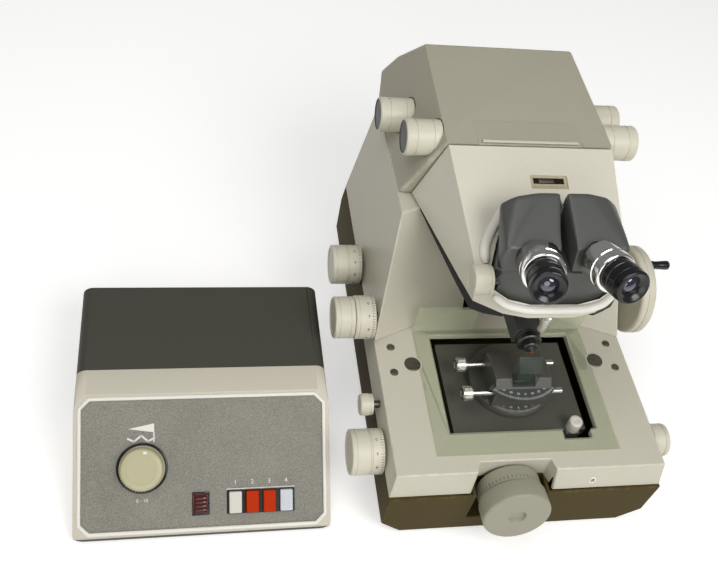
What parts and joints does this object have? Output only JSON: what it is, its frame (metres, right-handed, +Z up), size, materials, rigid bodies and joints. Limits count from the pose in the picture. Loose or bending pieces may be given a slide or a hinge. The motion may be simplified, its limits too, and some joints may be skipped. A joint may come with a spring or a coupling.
{
  "type": "ultramicrotome",
  "caption": "Ultramicrotome with a knife stage, specimen arm, binocular microscope on a tilting arm, handwheel and knobs, and a separate sloping control unit.",
  "frame": {"origin": "On the bench surface, at the pad under the middle of the microtome's base.", "axes": "+X to the operator's right, +Y to the back, +Z up."},
  "size_m": [0.6713, 0.5049, 0.3414],
  "materials": {
    "cream_cover": "painted, semi-gloss",
    "grey_hood": "painted, semi-gloss",
    "olive_plinth": "satin paint",
    "foot_rubber": "matte",
    "dark_casting": "painted, matte",
    "stage_black": "anodised, matte",
    "scope_grey": "hammer paint, semi-gloss",
    "bright_steel": "satin",
    "cream_knob": "smooth",
    "black_plastic": "satin",
    "clear_tray": "clear, green tint",
    "knife_glass": "clear",
    "window_scale": "smooth",
    "unit_dark": "fine texture paint",
    "unit_cream": "semi-gloss",
    "panel_grey": "speckled paint",
    "pale_knob": "smooth",
    "lamp_red": "translucent",
    "key_white": "smooth",
    "key_orange": "smooth",
    "belt_rubber": "matte"
  },
  "bodies": {
    "casing": {"base_plinth": "olive_plinth", "rubber_feet": "foot_rubber", "deck_housing": "cream_cover", "tower_shell": "cream_cover", "rear_cover": "cream_cover", "hood": "grey_hood", "hood_lid": "grey_hood", "main_frame": "dark_casting", "pivot_pins": "bright_steel", "drip_tray": "clear_tray", "deck_plugs": "bright_steel", "stage_bed": "dark_casting", "drive_motor": "black_plastic", "drive_belt": "belt_rubber", "unit_base": "unit_dark", "unit_cover": "unit_dark", "unit_bezel": "unit_cream", "unit_panel": "panel_grey", "speed_control": "black_plastic", "indicator_lamp": "lamp_red", "switch_body": "black_plastic", "unit_socket": "black_plastic"},
    "handwheel": {"handwheel": "cream_knob"},
    "handle_grip": {"handle_grip": "black_plastic"},
    "crank_shaft": {"crank_shaft": "bright_steel"},
    "specimen_arm": {"specimen_arm": "dark_casting", "specimen_chuck": "bright_steel"},
    "microscope_arm": {"arm_shell": "cream_cover", "scale_window": "window_scale"},
    "microscope": {"microscope_body": "scope_grey", "objective": "black_plastic"},
    "magnification_drum": {"magnification_drum": "cream_knob"},
    "microscope_lock_screw": {"microscope_lock_screw": "bright_steel"},
    "left_prism_housing": {"left_prism_housing": "scope_grey"},
    "right_prism_housing": {"right_prism_housing": "scope_grey"},
    "left_eyepiece": {"left_eyepiece": "black_plastic"},
    "right_eyepiece": {"right_eyepiece": "black_plastic"},
    "focus_shaft": {"focus_shaft": "cream_knob"},
    "tilt_shaft": {"tilt_shaft": "cream_knob"},
    "window_knob": {"window_knob": "cream_knob"},
    "coarse_feed_knob": {"coarse_feed_knob": "cream_knob"},
    "fine_feed_knob": {"fine_feed_knob": "cream_knob"},
    "stage_clamp_knob": {"stage_clamp_knob": "cream_knob"},
    "cross_shaft": {"cross_shaft": "cream_knob"},
    "front_coarse_knob": {"front_coarse_knob": "cream_knob"},
    "front_fine_knob": {"front_fine_knob": "cream_knob"},
    "stage_saddle": {"stage_saddle": "dark_casting"},
    "stage_top_slide": {"stage_top_slide": "stage_black"},
    "knife_turntable": {"knife_turntable": "stage_black", "knife_holder": "stage_black", "knife": "knife_glass"},
    "front_clamp_screw": {"front_clamp_screw": "bright_steel"},
    "rear_clamp_screw": {"rear_clamp_screw": "bright_steel"},
    "turntable_lock_knob": {"turntable_lock_knob": "key_white"},
    "speed_knob": {"speed_knob": "pale_knob"},
    "button_1": {"button_1": "key_white"},
    "button_2": {"button_2": "key_orange"},
    "button_3": {"button_3": "key_orange"},
    "button_4": {"button_4": "key_white"}
  },
  "joints": [
    {"name": "handwheel_turn", "type": "hinge", "parent": "casing", "child": "handwheel", "pos_m": [0, 0.023, 0.122], "axis": [1, 0, 0], "continuous": true},
    {"name": "grip_turn", "type": "hinge", "parent": "handwheel", "child": "handle_grip", "pos_m": [0, 0.02447, 0.16397], "axis": [1, 0, 0], "continuous": true},
    {"name": "crank_turn", "type": "hinge", "parent": "casing", "child": "crank_shaft", "pos_m": [0, 0.107, 0.14], "axis": [1, 0, 0], "continuous": true},
    {"name": "specimen_stroke", "type": "hinge", "parent": "casing", "child": "specimen_arm", "pos_m": [0, 0.147, 0.178], "axis": [1, 0, 0], "range_deg": [-0.8, 0.8]},
    {"name": "microscope_tilt", "type": "hinge", "parent": "casing", "child": "microscope_arm", "pos_m": [0, 0.083, 0.276], "axis": [-1, 0, 0], "range_deg": [0, 3]},
    {"name": "microscope_focus", "type": "slide", "parent": "microscope_arm", "child": "microscope", "axis": [0, 0, 1], "range_m": [0, 0.012]},
    {"name": "magnification_turn", "type": "hinge", "parent": "microscope", "child": "magnification_drum", "pos_m": [0, -0.0865, 0.271], "axis": [1, 0, 0], "range_deg": [-120, 120]},
    {"name": "lock_screw_turn", "type": "hinge", "parent": "microscope_arm", "child": "microscope_lock_screw", "pos_m": [0, -0.1035, 0.238], "axis": [0, 0, 1], "range_deg": [0, 180]},
    {"name": "left_prism_turn", "type": "hinge", "parent": "microscope", "child": "left_prism_housing", "pos_m": [-0.033, -0.0435, 0.288], "axis": [0, 0, 1], "range_deg": [-4, 0]},
    {"name": "right_prism_turn", "type": "hinge", "parent": "microscope", "child": "right_prism_housing", "pos_m": [0.033, -0.0435, 0.288], "axis": [0, 0, 1], "range_deg": [0, 4]},
    {"name": "left_eyepiece_turn", "type": "hinge", "parent": "left_prism_housing", "child": "left_eyepiece", "pos_m": [-0.03104, -0.09738, 0.3089], "axis": [0.1793, 0.9224, -0.342], "range_deg": [-90, 90]},
    {"name": "right_eyepiece_turn", "type": "hinge", "parent": "right_prism_housing", "child": "right_eyepiece", "pos_m": [0.03104, -0.09738, 0.3089], "axis": [-0.1793, 0.9224, -0.342], "range_deg": [-90, 90]},
    {"name": "focus_turn", "type": "hinge", "parent": "casing", "child": "focus_shaft", "pos_m": [0, 0.086, 0.296], "axis": [1, 0, 0], "range_deg": [0, 360.5]},
    {"name": "tilt_turn", "type": "hinge", "parent": "casing", "child": "tilt_shaft", "pos_m": [0, 0.155, 0.268], "axis": [-1, 0, 0], "range_deg": [0, 60.5]},
    {"name": "window_turn", "type": "hinge", "parent": "casing", "child": "window_knob", "pos_m": [-0.15, 0.072, 0.11], "axis": [-1, 0, 0], "range_deg": [-150, 150]},
    {"name": "coarse_feed_turn", "type": "hinge", "parent": "casing", "child": "coarse_feed_knob", "pos_m": [-0.15, -0.018, 0.125], "axis": [-1, 0, 0], "range_deg": [-150, 150]},
    {"name": "fine_feed_turn", "type": "hinge", "parent": "casing", "child": "fine_feed_knob", "pos_m": [-0.15, -0.018, 0.125], "axis": [-1, 0, 0], "continuous": true},
    {"name": "stage_clamp_turn", "type": "hinge", "parent": "casing", "child": "stage_clamp_knob", "pos_m": [-0.15, -0.1105, 0.093], "axis": [-1, 0, 0], "range_deg": [0, 90]},
    {"name": "stage_forward", "type": "slide", "parent": "casing", "child": "stage_saddle", "axis": [0, 1, 0], "range_m": [-0.01, 0.0025]},
    {"name": "stage_sideways", "type": "slide", "parent": "stage_saddle", "child": "stage_top_slide", "axis": [1, 0, 0], "range_m": [-0.007, 0.007]},
    {"name": "cross_turn", "type": "hinge", "parent": "casing", "child": "cross_shaft", "pos_m": [0, -0.158, 0.077], "axis": [1, 0, 0], "range_deg": [-252.5, 252.5]},
    {"name": "front_coarse_turn", "type": "hinge", "parent": "casing", "child": "front_coarse_knob", "pos_m": [-0.018, -0.239, 0.075], "axis": [0, 0.9848, -0.1736], "range_deg": [-360.5, 90.5]},
    {"name": "front_fine_turn", "type": "hinge", "parent": "casing", "child": "front_fine_knob", "pos_m": [-0.018, -0.239, 0.075], "axis": [0, 0.9848, -0.1736], "continuous": true},
    {"name": "knife_turn", "type": "hinge", "parent": "stage_top_slide", "child": "knife_turntable", "pos_m": [0, -0.0915, 0.099], "axis": [0, 0, 1], "range_deg": [-30, 30]},
    {"name": "front_clamp_turn", "type": "hinge", "parent": "knife_turntable", "child": "front_clamp_screw", "pos_m": [0, -0.1195, 0.1241], "axis": [1, 0, 0], "range_deg": [-180, 180]},
    {"name": "rear_clamp_turn", "type": "hinge", "parent": "knife_turntable", "child": "rear_clamp_screw", "pos_m": [0, -0.0835, 0.1241], "axis": [1, 0, 0], "range_deg": [-180, 180]},
    {"name": "turntable_lock_turn", "type": "hinge", "parent": "stage_top_slide", "child": "turntable_lock_knob", "pos_m": [0.058, -0.152, 0.099], "axis": [0, 0, 1], "range_deg": [0, 90]},
    {"name": "speed_turn", "type": "hinge", "parent": "casing", "child": "speed_knob", "pos_m": [-0.394, -0.15154, 0.04961], "axis": [0, -0.5736, 0.8192], "range_deg": [-150, 150]},
    {"name": "button_1_press", "type": "slide", "parent": "casing", "child": "button_1", "axis": [0, 0.5736, -0.8192], "range_m": [0, 0.003], "stiffness_N_per_m": 600, "springref_m": -0.001},
    {"name": "button_2_press", "type": "slide", "parent": "casing", "child": "button_2", "axis": [0, 0.5736, -0.8192], "range_m": [0, 0.003], "stiffness_N_per_m": 600, "springref_m": -0.001},
    {"name": "button_3_press", "type": "slide", "parent": "casing", "child": "button_3", "axis": [0, 0.5736, -0.8192], "range_m": [0, 0.003], "stiffness_N_per_m": 600, "springref_m": -0.001},
    {"name": "button_4_press", "type": "slide", "parent": "casing", "child": "button_4", "axis": [0, 0.5736, -0.8192], "range_m": [0, 0.003], "stiffness_N_per_m": 600, "springref_m": -0.001}
  ],
  "couplings": [
    {"joint": "crank_turn", "follows": "handwheel_turn", "ratio": 0.5},
    {"joint": "focus_turn", "follows": "microscope_focus", "rad_per_m": 523.6},
    {"joint": "tilt_turn", "follows": "microscope_tilt", "ratio": 20},
    {"joint": "left_prism_turn", "follows": "right_prism_turn", "ratio": -1},
    {"joint": "cross_turn", "follows": "stage_sideways", "rad_per_m": 628.32},
    {"joint": "front_coarse_turn", "follows": "stage_forward", "rad_per_m": 628.32}
  ]
}
